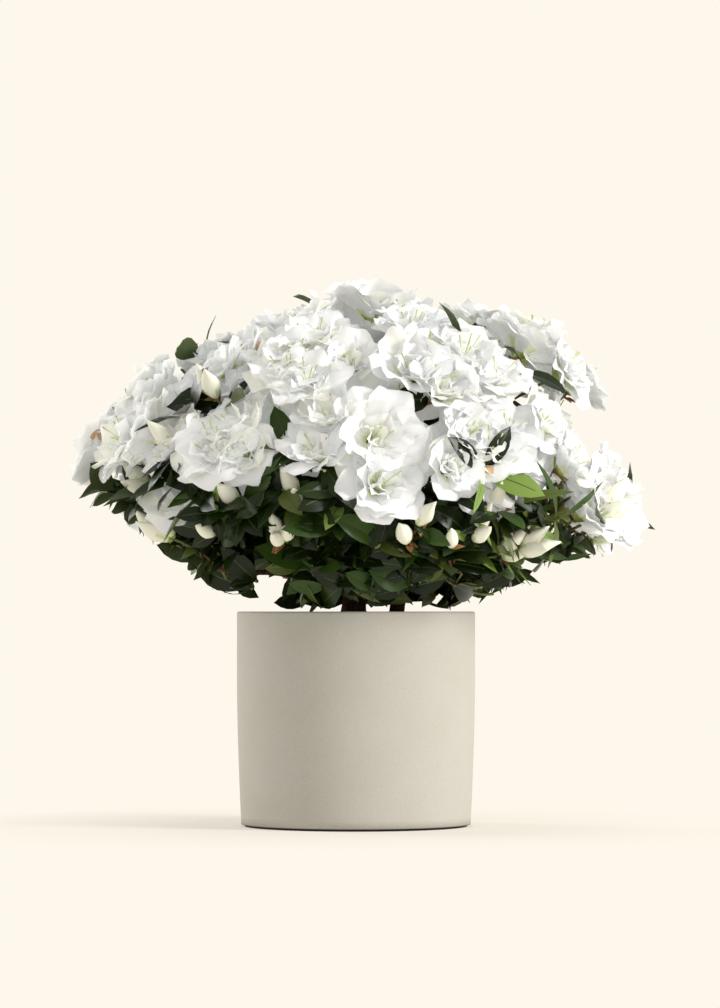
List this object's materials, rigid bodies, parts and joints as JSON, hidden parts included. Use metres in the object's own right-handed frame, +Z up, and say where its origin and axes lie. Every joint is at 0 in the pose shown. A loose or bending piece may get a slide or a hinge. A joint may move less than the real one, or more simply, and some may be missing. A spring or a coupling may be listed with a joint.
{
  "type": "azalea shrub in a pot",
  "caption": "Rounded shrub of double white blossom, buds and dark leaves on short boughs, standing in a straight-sided, matte, light grey stoneware pot filled with soil.",
  "frame": {"origin": "centre of the pot's underside, on the surface that it stands on", "axes": "+Z up; -Y towards the side that faces the viewer; +X to the viewer's right"},
  "size_m": [0.421, 0.3646, 0.4064],
  "materials": {
    "pot": "matte, finely speckled",
    "soil": "matte, crumbly",
    "bark": "rough",
    "blossom": "soft",
    "leaves": "satin"
  },
  "bodies": {
    "root": {"pot": "pot", "soil": "soil", "trunk": "bark", "second_stem": "bark", "bough_top": "bark", "bough_upper_left": "bark", "bough_upper_front": "bark", "bough_upper_middle": "bark", "bough_upper_right": "bark", "bough_upper_back": "bark", "bough_left": "bark", "bough_front_left": "bark", "bough_front": "bark", "bough_front_right": "bark", "bough_right": "bark", "bough_back_right": "bark", "bough_back": "bark", "bough_back_left": "bark", "bough_skirt_left": "bark", "bough_skirt_front": "bark", "bough_skirt_right": "bark", "bough_skirt_back_right": "bark", "bough_skirt_back_left": "bark", "foliage_top": "blossom", "foliage_upper_left": "blossom", "foliage_upper_front": "blossom", "foliage_upper_middle": "blossom", "foliage_upper_right": "blossom", "foliage_upper_back": "blossom", "foliage_left": "blossom", "foliage_front_left": "blossom", "foliage_front": "blossom", "foliage_front_right": "blossom", "foliage_right": "blossom", "foliage_back_right": "blossom", "foliage_back": "blossom", "foliage_back_left": "blossom", "foliage_skirt_left": "leaves", "foliage_skirt_front": "leaves", "foliage_skirt_right": "leaves", "foliage_skirt_back_right": "leaves", "foliage_skirt_back_left": "leaves"}
  },
  "joints": []
}
